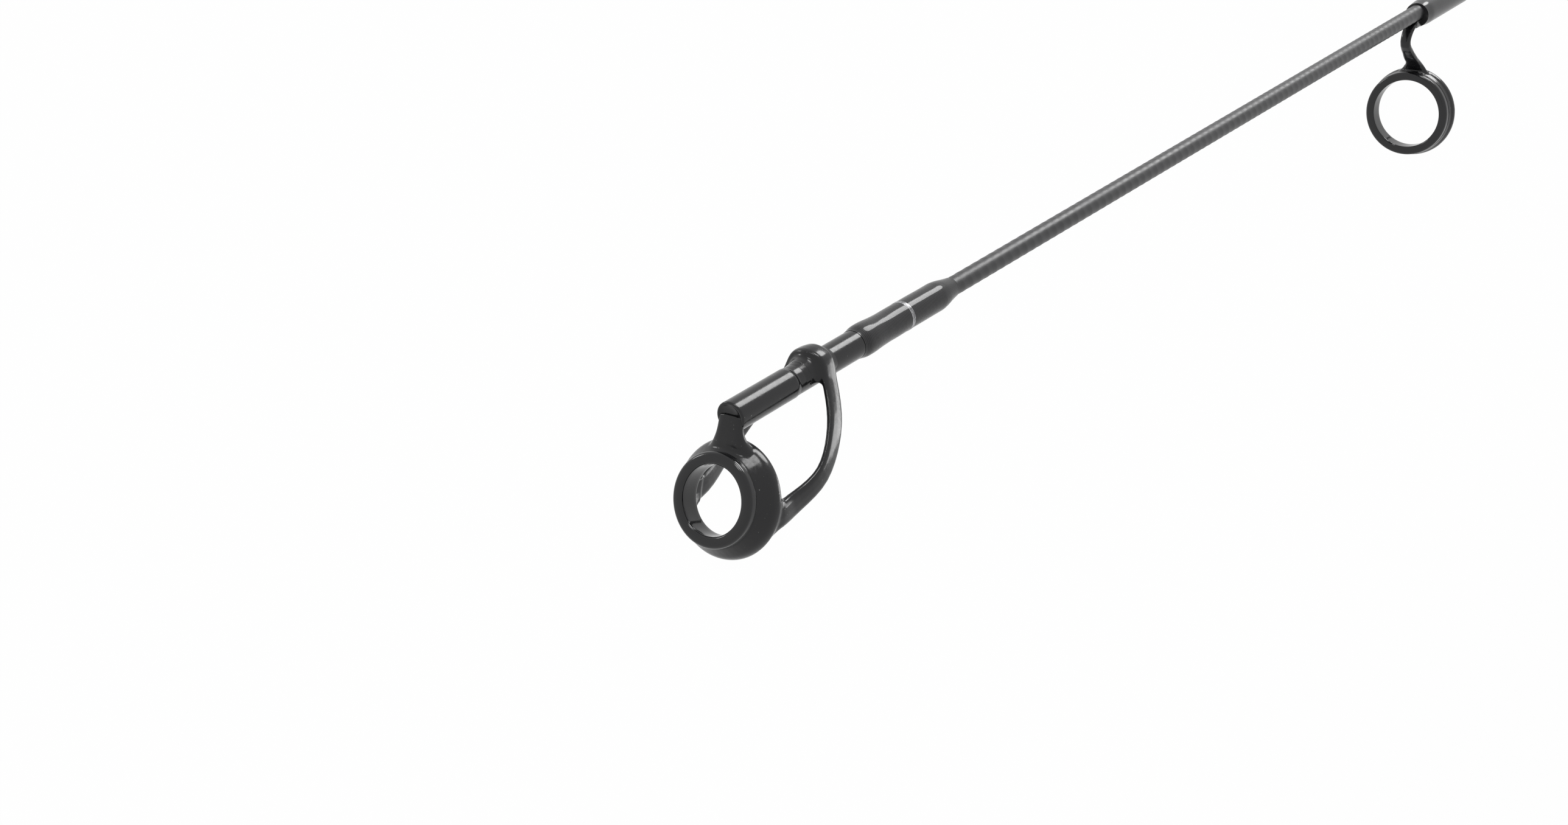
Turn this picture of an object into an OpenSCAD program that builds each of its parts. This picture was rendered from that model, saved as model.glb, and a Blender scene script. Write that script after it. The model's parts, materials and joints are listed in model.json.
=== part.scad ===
// Two-piece spinning rod, lying along X: butt at the origin, tip towards +X, guides hanging towards -Z.

/* [Blank] */
// Length of the tip section, from its ferrule mouth to the front of the tip-top
tip_len = 930; // [760:10:1200]
// Length of the butt section, from the butt cap's face to the end of the male ferrule
butt_len = 960; // [780:10:1250]
// How far the male ferrule reaches into the tip section
ferrule_overlap = 60; // [40:5:80]
// Diameter of the blank at the tip
tip_dia = 1.56; // [1.3:0.02:2.2]
// Diameter of the tip section at its ferrule mouth
mouth_dia = 6.3; // [5.4:0.1:8]
// Diameter of the butt section at the butt
butt_dia = 10.6; // [9:0.1:12]
// Wall of the tip section
tip_wall = 0.45; // [0.3:0.05:0.6]
// Wall of the butt section
butt_wall = 0.9; // [0.6:0.1:1.4]
// Wall of the female ferrule
ferrule_wall = 0.55; // [0.45:0.05:0.8]
// Drop in the ferrule's diameter along its overlap
ferrule_drop = 0.3; // [0.2:0.05:0.5]
// How strongly the tip section's taper gathers towards its mouth
taper_power = 1.6; // [1:0.1:2]
// How strongly the butt section's taper gathers towards the butt
butt_power = 0.87; // [0.7:0.01:1]

/* [Tip-top] */
// Length of the tip-top tube
tube_len = 16; // [12:0.5:20]
// Outside diameter of the tube's front sleeve
sleeve_dia = 2.4; // [2.3:0.05:3.2]
// Length of the front sleeve
sleeve_len = 6.6; // [5.6:0.1:8]
// Step in radius from the sleeve to the rear of the tube
sleeve_step = 0.05; // [0.03:0.01:0.1]
// Thickness of the tube's closed front
tube_cap = 0.8; // [0.5:0.1:1.2]
// Line hole of the tip ring
tip_ring_id = 5.2; // [4.4:0.1:6.4]
// Radial width of the tip ring's lip
tip_lip = 0.9; // [0.8:0.05:1.1]
// Drop of the tip ring's centre below the tube's axis
tip_ring_drop = 5.67; // [5.2:0.01:7]
// Lean of the tip ring's axis, upwards from the tube's axis, in degrees
tip_ring_lean = 19.6; // [10:0.2:26]
// How far the frame's cup flares outside the ring's lip
tip_flare = 0.95; // [0.4:0.05:1.1]
// Depth of the tip frame's cup
tip_cup_depth = 1.8; // [1.4:0.1:2.2]
// Width of the flat stem
stem_w = 2.1; // [1.4:0.05:2.4]
// How sharply the stem fans out towards the cup
stem_fan = 3; // [2:0.1:5]
// Where the stem ends in the cup, as a share of the cup's radius
stem_low = 0.76; // [0.72:0.01:0.82]
// Thickness of the frame's sheet
sheet_t = 0.6; // [0.45:0.05:0.8]
// Width of the hoop's strip
hoop_w = 1.7; // [1.3:0.05:2]
// Half the width of the hoop at its belly
hoop_half = 4.4; // [4:0.1:5]
// How far behind the tube's front the hoop crosses the tube
hoop_back = 9.7; // [8.6:0.1:11]
// Length of the thread wrap behind the tube
tip_wrap_len = 13.5; // [10:0.5:20]

/* [Guides] */
// Line holes of the guides, from the tip to the butt
guide_ids = [7.8, 7.8, 9.6, 12.6, 16.4, 20.8]; // [6.4:0.1:25]
// Drop of each guide's ring centre below the blank's axis
guide_drops = [11.8, 11.8, 13.4, 17.2, 21.5, 27]; // [10.5:0.1:33]
// Distance of the first guide's ring from the front of the tip-top
first_guide = 129.5; // [110:0.5:160]
// Distance of the last tip-section guide from the ferrule mouth
last_guide = 100; // [95:1:140]
// Distance of the stripper guide's ring from the ferrule mouth
stripper_gap = 115; // [60:1:220]
// How strongly the guides' spacing grows away from the tip
spacing_power = 1.2; // [1:0.05:1.4]
// Lean of the guide rings' axes, upwards from the blank's axis, in degrees
guide_lean = 5; // [0:0.5:12]
// Radial width of a guide ring's lip
guide_lip = 0.95; // [0.8:0.05:1.2]
// How far a guide frame's cup flares outside the lip
guide_flare = 0.3; // [0.2:0.05:0.5]
// Length of a guide foot under its wrap
foot_len = 14; // [10:0.5:18]
// How far a wrap runs on past the end of its foot
wrap_lead = 3; // [2:0.5:6]
// Width of a guide foot
foot_w = 1.4; // [1.2:0.1:1.8]
// Thickness of a guide foot
foot_t = 0.6; // [0.4:0.05:0.8]

/* [Wraps] */
// Thickness of a thread wrap and its epoxy coat
wrap_t = 0.32; // [0.25:0.01:0.5]
// Length of the tapered ends of a wrap
wrap_taper = 2.2; // [1.5:0.1:3]
// Length of the ferrule wrap
ferrule_wrap_len = 58; // [45:1:62]
// Width of a trim band
trim_w = 0.4; // [0.3:0.05:1]
// Depth of the groove that a trim band lies in
trim_t = 0.12; // [0.08:0.01:0.2]

/* [Handle] */
// Length of the rear grip, from the butt cap's face to the rear trim ring
rear_grip_len = 205; // [160:5:260]
// Largest diameter of the rear grip
rear_grip_dia = 27; // [24:0.5:30]
// Waist diameter of the rear grip
rear_waist_dia = 23.4; // [22:0.1:26]
// Length of the butt cap
cap_len = 16; // [12:1:24]
// Wall of the butt cap's skirt
cap_wall = 1.8; // [1.2:0.1:2.6]
// Length of the reel seat's barrel
barrel_len = 126; // [116:1:150]
// Diameter of the reel seat's barrel
barrel_dia = 19.2; // [18:0.2:24]
// Wall of the barrel
barrel_wall = 1.8; // [1.4:0.1:2.6]
// Depth of the flat bed for the reel foot
bed_depth = 1.4; // [1:0.1:1.6]
// Length of the fixed hood
fixed_hood_len = 32; // [28:1:40]
// Length of the sliding hood
hood_len = 22; // [20:1:28]
// Depth of a hood's pocket
pocket_len = 14; // [11:0.5:16]
// Wall of a hood
hood_wall = 1.4; // [1:0.1:2]
// Thickness of a hood's liner
liner_t = 0.8; // [0.5:0.1:1.2]
// How far below the barrel's axis the hoods' lobes are centred
lobe_drop = 8; // [7:0.5:10]
// Radius of the hoods' lobes at the mouth
lobe_r = 10; // [9:0.5:12]
// Length of the lock nut
nut_len = 12; // [10:0.5:16]
// Wall of the lock nut over its ribs
nut_wall = 3.2; // [2.8:0.1:4.2]
// Number of scallops round the lock nut
nut_scallops = 20; // [12:1:28]
// Wall of the hoods' collars
collar_wall = 2.6; // [2.2:0.1:3]
// Travel of the sliding hood
hood_travel = 24; // [16:1:26]
// Length of the foregrip
foregrip_len = 64; // [40:2:100]
// Diameter of the foregrip where it meets the seat
foregrip_dia = 24.4; // [22:0.2:28]
// Diameter of the foregrip's front end
foregrip_front_dia = 15; // [13:0.2:18]
// How far the foregrip laps over the seat's barrel
foregrip_lap = 4; // [3:0.5:8]
// Gap left between the open lock nut and the foregrip
nut_clear = 1.7; // [1:0.1:3]
// Length of each trim ring and winding check
ring_len = 4; // [3:0.5:6]
// Distance of the hook keeper in front of the winding check
keeper_gap = 30; // [15:1:60]
// Height of the hook keeper's loop
keeper_h = 7; // [6:0.5:9]
// Diameter of the hook keeper's wire
keeper_wire = 1; // [0.8:0.1:1.4]
// Half the length of the hook keeper's loop
keeper_half = 7; // [6:0.5:9]
// Length of each foot of the hook keeper
keeper_foot = 8; // [6:0.5:12]

/* [Fits] */
// Radial gap of a glued seat
glue = 0.03; // [0.02:0.01:0.05]
// Radial gap of the ferrule
slip = 0.03; // [0.02:0.01:0.05]
// Radial gap of the hood and the nut on the barrel
running = 0.08; // [0.05:0.01:0.1]
// Gap between the faces of moving pieces
face_gap = 0.3; // [0.2:0.05:0.5]

/* [Hidden] */
$fn = 48;

coat_black = [0.10, 0.10, 0.11];
ceramic = [0.06, 0.06, 0.07];
thread_black = [0.13, 0.13, 0.14];
blank_grey = [0.20, 0.20, 0.22];
silver = [0.72, 0.72, 0.74];
foam_black = [0.08, 0.08, 0.08];
seat_black = [0.09, 0.09, 0.10];
gunmetal = [0.30, 0.31, 0.33];

// Places along the rod
mouth_x = butt_len - ferrule_overlap;
tip_x = mouth_x + tip_len;
single_count = 3;
tip_guides = len(guide_ids) - 1;
guide_span = tip_len - last_guide - first_guide;
function guide_dist(i) = first_guide + guide_span * pow(i / (tip_guides - 1), spacing_power);
function guide_x(i) = i < tip_guides ? tip_x - guide_dist(i) : mouth_x - stripper_gap;
seat_x0 = rear_grip_len + ring_len;
seat_x1 = seat_x0 + barrel_len;
foregrip_x = seat_x1 - foregrip_lap;
nut_x1 = foregrip_x - nut_clear;
nut_x0 = nut_x1 - nut_len;
hood_x1 = nut_x0 - face_gap;
hood_x0 = hood_x1 - hood_len;
check_x = foregrip_x + foregrip_len;
keeper_x = check_x + ring_len + keeper_gap;

// Blank: radii at a place along the rod
male_r = mouth_dia / 2 - ferrule_wall - slip;
function tip_r(x) = (tip_dia + (mouth_dia - tip_dia) * pow((tip_x - x) / tip_len, taper_power)) / 2;
function butt_r(x) = x < mouth_x
    ? butt_dia / 2 - (butt_dia / 2 - male_r) * pow(x / mouth_x, butt_power)
    : male_r - ferrule_drop / 2 * (x - mouth_x) / ferrule_overlap;
function blank_r(x, on_tip) = on_tip ? tip_r(x) : butt_r(x);
stations = 40;

// Tip-top sizes that follow from the driving ones
sleeve_r = sleeve_dia / 2;
tube_r = sleeve_r - sleeve_step;
tube_bore = tip_dia / 2 + glue;

// Ring: walls of the insert, from its line hole outwards
function body_wall(lip) = lip * 0.5;
function seat_r(id, lip) = id / 2 + body_wall(lip);
function lip_r(id, lip) = id / 2 + lip;
function lip_back(lip) = lip * 0.2;
function lip_scale(id) = max(1, sqrt(id / guide_ids[0]));

// Smooth curve through control rows, at a pace set by the distance between them
function pace(p, i) = norm(row_at(p[i + 1]) - row_at(p[i]));
function chord(p, i) = (p[i + 1] - p[i]) / pace(p, i);
function slope(p, i) = i == 0
    ? chord(p, 0)
    : i == len(p) - 1
        ? chord(p, i - 1)
        : chord(p, i - 1) + chord(p, i) - (p[i + 1] - p[i - 1]) / (pace(p, i - 1) + pace(p, i));
function curve_point(p, i, f) = let(
    a = p[i],
    b = p[i + 1],
    u = slope(p, i) * pace(p, i),
    v = slope(p, i + 1) * pace(p, i))
    a + f * (u + f * (3 * (b - a) - 2 * u - v + f * (2 * (a - b) + u + v)));
function curve(p, steps) = [
    for (i = [0 : len(p) - 2])
        for (k = [0 : steps - 1])
            curve_point(p, i, k / steps),
    p[len(p) - 1]
];

// Strip row: centre, width, thickness and the direction of the width
function row(at, width, thick, across) = concat(at, [width, thick], across);
function row_at(r) = [r[0], r[1], r[2]];
function row_across(r) = [r[5], r[6], r[7]];
function unit(v) = v / norm(v);
function mirrored(r) = [r[0], -r[1], r[2], r[3], r[4], r[5], -r[6], r[7]];
function soft(v, power) = sign(v) * pow(abs(v), power);

// Sheet-metal strip with rounded edges, swept along a curve through its rows
module strip(rows, steps = 4, sides = 10, power = 0.7) {
    path = curve(rows, steps);
    last = len(path) - 1;
    points = [
        for (i = [0 : last]) let(
            along = unit(row_at(path[min(i + 1, last)]) - row_at(path[max(i - 1, 0)])),
            out = unit(cross(along, row_across(path[i]))),
            across = cross(out, along))
            for (k = [0 : sides - 1]) let(a = 360 * k / sides)
                row_at(path[i]) + across * path[i][3] / 2 * soft(cos(a), power)
                    + out * path[i][4] / 2 * soft(sin(a), power)
    ];
    walls = [
        for (i = [0 : last - 1])
            for (k = [0 : sides - 1]) let(n = (k + 1) % sides)
                each [
                    [i * sides + k, (i + 1) * sides + k, (i + 1) * sides + n],
                    [i * sides + k, (i + 1) * sides + n, i * sides + n]
                ]
    ];
    first_cap = [for (k = [0 : sides - 1]) k];
    last_cap = [for (k = [sides - 1 : -1 : 0]) last * sides + k];
    polyhedron(points, concat(walls, [first_cap, last_cap]), convexity = 6);
}

// Solid of revolution round the rod's axis, from [radius, x] points
module turned(points) {
    rotate([0, 90, 0])
        rotate_extrude(convexity = 6)
            polygon(points);
}

// Places its children on a ring: local Z along the line's way out, local X downwards
module at_ring(x, drop, lean) {
    translate([x, 0, -drop])
        rotate([0, 90 - lean, 0])
            children();
}

// Row-frame point of a place on a ring, from its local coordinates
function ring_point(x, drop, lean, p) = [
    x + p[0] * sin(lean) + p[2] * cos(lean),
    p[1],
    -drop - p[0] * cos(lean) + p[2] * sin(lean)
];

function guide_point(i, p) = ring_point(guide_x(i), guide_drops[i], guide_lean, p);
function tip_point(p) = ring_point(tip_ring_x, tip_ring_drop, tip_ring_lean, p);
function lip_of(i) = guide_lip * lip_scale(guide_ids[i]);

// Outline points of an arc in [radius, height] coordinates
function arc(centre, r, a0, a1, count) = [
    for (k = [0 : count]) let(a = a0 + (a1 - a0) * k / count)
        centre + r * [cos(a), sin(a)]
];

// Polished insert: straight line hole, a lip with rounded corners in front and a rounded rear edge
module insert(id, lip) {
    r = id / 2;
    wall = body_wall(lip);
    inner = lip * 0.35;
    outer = lip * 0.45;
    rotate_extrude()
        polygon(concat(
            arc([r + inner, lip - inner], inner, 180, 90, 7),
            arc([r + lip - outer, lip - outer], outer, 90, 0, 7),
            [[r + lip, lip_back(lip)], [r + wall, lip_back(lip)], [r + wall, -lip * 0.9]],
            arc([r + wall / 2, -lip * 0.9], wall / 2, 0, -180, 8)
        ));
}

// Stamped cup that holds an insert: thin front rim, convex flank, rounded rear rim
module cup(id, lip, flare, depth) {
    seat = seat_r(id, lip) + glue;
    front = lip_back(lip) - glue;
    rim = lip_r(id, lip) + flare;
    edge = min(0.3, flare + 0.1);
    rotate_extrude()
        polygon(concat(
            [[seat, front]],
            arc([lip_r(id, lip) - 0.1, front - 0.12], 0.12, 90, 30, 4),
            arc([rim - depth * 0.72, -depth + edge], depth * 0.72, 38, 0, 6),
            arc([rim - edge, -depth + edge], edge, 0, -90, 4),
            [[seat + 0.5 * lip, -depth], [seat, -lip * 0.95]]
        ));
}

// Room for an insert in its frame: its body right through, and its lip in front
module seat_cut(id, lip) {
    translate([0, 0, -10])
        cylinder(r = seat_r(id, lip) + glue, h = 20);
    translate([0, 0, lip_back(lip) - glue])
        cylinder(r = lip_r(id, lip) + glue, h = lip);
}

// Blank's outside over a stretch, with a glue gap, to cut what sits on it
module blank_cut(x0, x1, on_tip) {
    turned([
        [0, x0],
        [blank_r(x0, on_tip) + glue, x0],
        [blank_r(x1, on_tip) + glue, x1],
        [0, x1]
    ]);
}

// Pointed tongue of a guide foot, flat below and hollowed by the blank above
module foot(x_end, x_root, r, grow) {
    end_w = foot_w * 0.45;
    translate([0, 0, -r - foot_t - grow])
        linear_extrude(foot_t + r / 2 + grow)
            polygon([
                [x_end, -end_w / 2 - grow],
                [x_root, -foot_w / 2 - grow],
                [x_root, foot_w / 2 + grow],
                [x_end, end_w / 2 + grow]
            ]);
}

// Thread wrap under epoxy, thicker on the side of the foot that it covers
module foot_wrap(x_a, x_b, foot_end, foot_root, on_tip) {
    x0 = min(x_a, x_b);
    x1 = max(x_a, x_b);
    r_foot = blank_r(foot_root, on_tip);
    lift = foot_t / 2;
    thick = lift + wrap_t;
    difference() {
        translate([0, 0, -lift])
            turned([
                [0, x0],
                [blank_r(x0, on_tip) + lift + 0.05, x0],
                [blank_r(x0, on_tip) + thick * 0.8, x0 + wrap_taper * 0.4],
                [blank_r(x0, on_tip) + thick, x0 + wrap_taper],
                [blank_r(x1, on_tip) + thick, x1 - wrap_taper],
                [blank_r(x1, on_tip) + thick * 0.8, x1 - wrap_taper * 0.4],
                [blank_r(x1, on_tip) + lift + 0.05, x1],
                [0, x1]
            ]);
        blank_cut(x0 - 5, x1 + 5, on_tip);
        foot(foot_end, foot_root, r_foot, glue);
    }
}

// How far a single foot's root stands in front of its ring
foot_ahead = 1.2;

// Single-foot guide frame: foot towards the butt, neck bent down and back to the ring
module single_frame(i) {
    x = guide_x(i);
    id = guide_ids[i];
    lip = lip_of(i);
    drop = guide_drops[i];
    root = x + foot_ahead;
    r = tip_r(root);
    rim = lip_r(id, lip);
    gap = drop - rim - r;
    neck_t = 0.8;
    shoulder_t = 0.9;
    across = [0, 1, 0];
    difference() {
        union() {
            at_ring(x, drop, guide_lean)
                cup(id, lip, guide_flare, 1.5 * lip);
            foot(root - foot_len, root, r, 0);
            strip([
                row([root - 1, 0, -r - foot_t / 2], foot_w, foot_t, across),
                row([root + 0.4, 0, -r - foot_t / 2 - 0.1], foot_w, foot_t, across),
                row([root + 1.4, 0, -r - 0.25 * gap - 0.3], 0.86 * foot_w, neck_t, across),
                row([x + 1.1, 0, -r - 0.62 * gap], 1.07 * foot_w, neck_t, across),
                row(guide_point(i, [-rim - 0.3, 0, -lip * 0.5]), 2 * foot_w, shoulder_t, across),
                row(guide_point(i, [-rim + 0.45, 0, -lip * 0.6]), 3 * foot_w, shoulder_t, across)
            ]);
        }
        blank_cut(x - 40, x + 40, true);
        at_ring(x, drop, guide_lean)
            seat_cut(id, lip);
    }
}

module single_wrap(i) {
    root = guide_x(i) + foot_ahead;
    foot_wrap(root - foot_len - wrap_lead, root - 0.8, root - foot_len, root, true);
}

// Double-foot guide: how far the two foot roots stand from the ring
function foot_spread(i) = 0.62 * guide_drops[i];

// Double-foot guide frame: a centre leg towards the butt, two legs from the ring's sides towards the tip
module double_frame(i, on_tip) {
    x = guide_x(i);
    id = guide_ids[i];
    lip = lip_of(i);
    drop = guide_drops[i];
    spread = foot_spread(i);
    back = x - spread;
    front = x + spread;
    r_back = blank_r(back, on_tip);
    r_front = blank_r(front, on_tip);
    rim = lip_r(id, lip);
    leg_w = 1.4;
    leg_t = 1.1;
    root_t = 0.8;
    end_t = 0.65;
    across = [0, 1, 0];
    difference() {
        union() {
            at_ring(x, drop, guide_lean)
                cup(id, lip, guide_flare, 1.5 * lip);
            foot(back - foot_len, back, r_back, 0);
            foot(front + foot_len, front, r_front, 0);
            strip([
                row([back - 1, 0, -r_back - foot_t / 2], foot_w, foot_t, across),
                row([back + 1, 0, -r_back - foot_t / 2 - 0.2], foot_w * 1.2, root_t, across),
                row([x - 0.45 * spread, 0, -r_back - 0.45 * (drop - rim - r_back)],
                    foot_w * 1.5, leg_t, across),
                row(guide_point(i, [-rim - 0.4, 0, -lip * 0.7]), foot_w * 2.2, leg_t, across),
                row(guide_point(i, [-rim + 0.5, 0, -lip * 0.6]), foot_w * 3, leg_t, across)
            ]);
            for (side = [-1, 1])
                strip([
                    row([front + 1, 0, -r_front - foot_t / 2], foot_w, foot_t, across),
                    row([front - 1, side * 0.3, -r_front - foot_t / 2 - 0.2], foot_w, root_t, across),
                    row([x + 0.66 * spread, side * 0.48 * rim, -r_front - 0.4 * (drop - rim / 2)],
                        leg_w, leg_t, [0.3 * side, 0.9, 0.3 * side]),
                    row([x + 0.24 * spread, side * (rim + 0.3), -0.82 * drop],
                        leg_w * 1.07, leg_t, [0.7 * side, 0.6, 0.3 * side]),
                    row(guide_point(i, [0.1 * rim, side * (rim - 0.1), -lip * 0.6]),
                        leg_w * 1.43, end_t, [0.9 * side, 0, 0.4 * side])
                ]);
        }
        blank_cut(x - 60, x + 60, on_tip);
        at_ring(x, drop, guide_lean)
            seat_cut(id, lip);
    }
}

module double_wraps(i, on_tip) {
    back = guide_x(i) - foot_spread(i);
    front = guide_x(i) + foot_spread(i);
    bare = 1.2;
    foot_wrap(back - foot_len - wrap_lead, back - bare, back - foot_len, back, on_tip);
    foot_wrap(front + foot_len + wrap_lead, front + bare, front + foot_len, front, on_tip);
}

module guide_frame(i) {
    color(coat_black)
        if (i < single_count)
            single_frame(i);
        else
            double_frame(i, i < tip_guides);
}

module guide_wraps(i) {
    color(thread_black)
        if (i < single_count)
            single_wrap(i);
        else
            double_wraps(i, i < tip_guides);
}

module guide_insert(i) {
    color(ceramic)
        at_ring(guide_x(i), guide_drops[i], guide_lean)
            insert(guide_ids[i], lip_of(i));
}

// Tip-top
tip_ring_x = tip_x + tip_ring_drop * tan(tip_ring_lean) + 0.22;

module tip_top_tube() {
    round_r = 0.25;
    color(coat_black)
        turned(concat(
            [[0, tip_x]],
            arc([sleeve_r - round_r, tip_x - round_r], round_r, 90, 0, 5),
            [
                [sleeve_r, tip_x - sleeve_len],
                [tube_r, tip_x - sleeve_len - sleeve_step],
                [tube_r, tip_x - tube_len + 0.1],
                [tube_r - 0.1, tip_x - tube_len],
                [tube_bore, tip_x - tube_len],
                [tube_bore, tip_x - tube_cap],
                [0, tip_x - tube_cap]
            ]
        ));
}

// Half of the hoop, from its root in the cup to its crown over the tube
function hoop_half_rows() = let(
    rim = lip_r(tip_ring_id, tip_lip) + tip_flare,
    root_a = 8,
    root_r = rim - 0.8,
    root = [root_r * sin(root_a), root_r * cos(root_a)],
    crown = sleeve_r + 0.1 + sheet_t / 2,
    drop = tip_ring_drop,
    back = hoop_back)
    [
        row(tip_point([root[0], root[1], -tip_cup_depth * 0.6]), 2 * hoop_w, sheet_t,
            [-0.3, 0.14, 0.94]),
        row(tip_point([root[0] - 0.1, root[1] + 0.3, -tip_cup_depth * 1.15]), 1.3 * hoop_w, 1.4 * sheet_t,
            [-0.1, 0.1, 0.98]),
        row([tip_x - 0.12 * back, 0.9 * hoop_half, -1.16 * drop], 1.14 * hoop_w, 1.25 * sheet_t,
            [0.36, 0, 0.93]),
        row([tip_x - 0.47 * back, 0.99 * hoop_half, -0.95 * drop], hoop_w, sheet_t, [0.55, 0, 0.83]),
        row([tip_x - 0.74 * back, 0.83 * hoop_half, -0.56 * drop], hoop_w, sheet_t, [0.87, 0, 0.5]),
        row([tip_x - 0.97 * back, sleeve_r + 0.6, -0.06 * drop], hoop_w, sheet_t, [0.97, 0, 0.25]),
        row([tip_x - 1.01 * back, 0.86 * sleeve_r, 0.78 * crown], hoop_w, sheet_t, [1, 0, 0.1]),
        row([tip_x - back, 0, crown], hoop_w, sheet_t, [1, 0, 0])
    ];

// Stem from the tube's front down into the ring's cup, fanning out and thickening where it meets it
function stem_rows() = let(
    rim = lip_r(tip_ring_id, tip_lip) + tip_flare,
    top = (tip_ring_drop + 0.15) / cos(tip_ring_lean),
    low = stem_low * rim,
    low_w = 2 * rim * sqrt(1 - pow(stem_low, 2)) - 1.1,
    low_t = tip_cup_depth * 0.8,
    stem_sink = 0.45,
    face = lip_back(tip_lip) - glue)
    [
        for (k = [0 : 5]) let(
            f = k / 5,
            thick = sheet_t + (low_t - sheet_t) * pow(f, 2))
            row(tip_point([-(top + (low - top) * f), 0, face - thick / 2 - stem_sink * pow(f, 3)]),
                stem_w + (low_w - stem_w) * pow(f, stem_fan), thick, [0, 1, 0])
    ];

// Braze that fills the corner between the hoop's crown and the tube
module braze() {
    x = tip_x - hoop_back;
    top = sleeve_r + 0.45;
    intersection() {
        turned([
            [0, x - 1.5],
            [tube_r, x - 1.5],
            [tube_r + 0.12, x - 1],
            [top, x - 0.35],
            [top, x + 0.35],
            [sleeve_r + 0.14, x + 1.1],
            [sleeve_r, x + 1.8],
            [0, x + 1.8]
        ]);
        translate([x - 5, -5, -0.4])
            cube([10, 10, 10]);
    }
}

module tip_top_frame() {
    half_rows = hoop_half_rows();
    count = len(half_rows);
    rows = concat(half_rows, [for (k = [count - 2 : -1 : 0]) mirrored(half_rows[k])]);
    color(coat_black)
        difference() {
            union() {
                at_ring(tip_ring_x, tip_ring_drop, tip_ring_lean)
                    cup(tip_ring_id, tip_lip, tip_flare, tip_cup_depth);
                strip(stem_rows(), steps = 3, sides = 16, power = 0.6);
                strip(rows, steps = 5, sides = 12);
                braze();
            }
            turned([
                [0, tip_x - 30],
                [tube_r + glue, tip_x - 30],
                [tube_r + glue, tip_x - sleeve_len - sleeve_step],
                [sleeve_r + glue, tip_x - sleeve_len],
                [sleeve_r + glue, tip_x],
                [0, tip_x]
            ]);
            at_ring(tip_ring_x, tip_ring_drop, tip_ring_lean)
                seat_cut(tip_ring_id, tip_lip);
        }
}

module tip_top_ring() {
    color(ceramic)
        at_ring(tip_ring_x, tip_ring_drop, tip_ring_lean)
            insert(tip_ring_id, tip_lip);
}

// Wrap behind the tube: bulge over the tube's end, even barrel, short shoulder at its tail
tip_wrap_r = tip_dia / 2 + 0.44;
tip_wrap_x = tip_x - tube_len + 0.5;
tip_wrap_end = tip_wrap_x - tip_wrap_len;
tip_trim_x = tip_wrap_x - 0.47 * tip_wrap_len;

module tip_top_wrap() {
    bulge = tube_r + 0.18;
    color(thread_black)
        turned([
            [tube_r + glue, tip_wrap_x],
            [tube_r + 0.1, tip_wrap_x],
            [bulge, tip_wrap_x - 0.5],
            [bulge, tip_wrap_x - 1.3],
            [tip_wrap_r + 0.03, tip_wrap_x - 2.6],
            [tip_wrap_r, tip_wrap_x - 3.6],
            [tip_wrap_r, tip_trim_x + trim_w / 2 + glue],
            [tip_wrap_r - trim_t, tip_trim_x + trim_w / 2 + glue],
            [tip_wrap_r - trim_t, tip_trim_x - trim_w / 2 - glue],
            [tip_wrap_r, tip_trim_x - trim_w / 2 - glue],
            [tip_wrap_r, tip_wrap_end + 2.3],
            [tip_wrap_r - 0.08, tip_wrap_end + 1.6],
            [tip_r(tip_wrap_end) + 0.18, tip_wrap_end + 0.7],
            [tip_r(tip_wrap_end) + 0.06, tip_wrap_end],
            [tip_r(tip_wrap_end) + glue, tip_wrap_end],
            [tip_r(tip_x - tube_len) + glue, tip_x - tube_len - glue],
            [tube_r + glue, tip_x - tube_len - glue]
        ]);
}

// Thin band of bright thread in a groove of a wrap
module trim_band(x, r) {
    turned([
        [r - trim_t + glue, x - trim_w / 2],
        [r + 0.02, x - trim_w / 2],
        [r + 0.02, x + trim_w / 2],
        [r - trim_t + glue, x + trim_w / 2]
    ]);
}

module tip_top_trim_band() {
    color(silver)
        trim_band(tip_trim_x, tip_wrap_r);
}

// Tip section's hollow blank; its mouth is the female ferrule
module tip_blank() {
    x0 = mouth_x;
    x1 = tip_x - tube_cap - glue;
    socket = ferrule_overlap + 3;
    span = x1 - x0;
    color(blank_grey)
        turned(concat(
            [for (k = [0 : stations]) let(x = x0 + span * k / stations) [tip_r(x), x]],
            [for (k = [stations : -1 : 4]) let(x = x0 + span * k / stations) [tip_r(x) - tip_wall, x]],
            [
                [male_r + slip - ferrule_drop / 2 * socket / ferrule_overlap, x0 + socket],
                [male_r + slip, x0]
            ]
        ));
}

// Butt section's hollow blank; its upper end is the male ferrule
module butt_blank() {
    x0 = cap_len - 6;
    span = mouth_x - x0;
    color(blank_grey)
        turned(concat(
            [for (k = [0 : stations]) let(x = x0 + span * k / stations) [butt_r(x), x]],
            [[butt_r(butt_len), butt_len], [butt_r(butt_len) - butt_wall, butt_len]],
            [for (k = [stations : -1 : 0]) let(x = x0 + span * k / stations) [butt_r(x) - butt_wall, x]]
        ));
}

// Wrap that keeps the ferrule mouth from splitting, with two bright bands
ferrule_bands = [mouth_x + 6, mouth_x + ferrule_wrap_len - 8];
function ferrule_wrap_r(x) = tip_r(x) + wrap_t;

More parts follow.
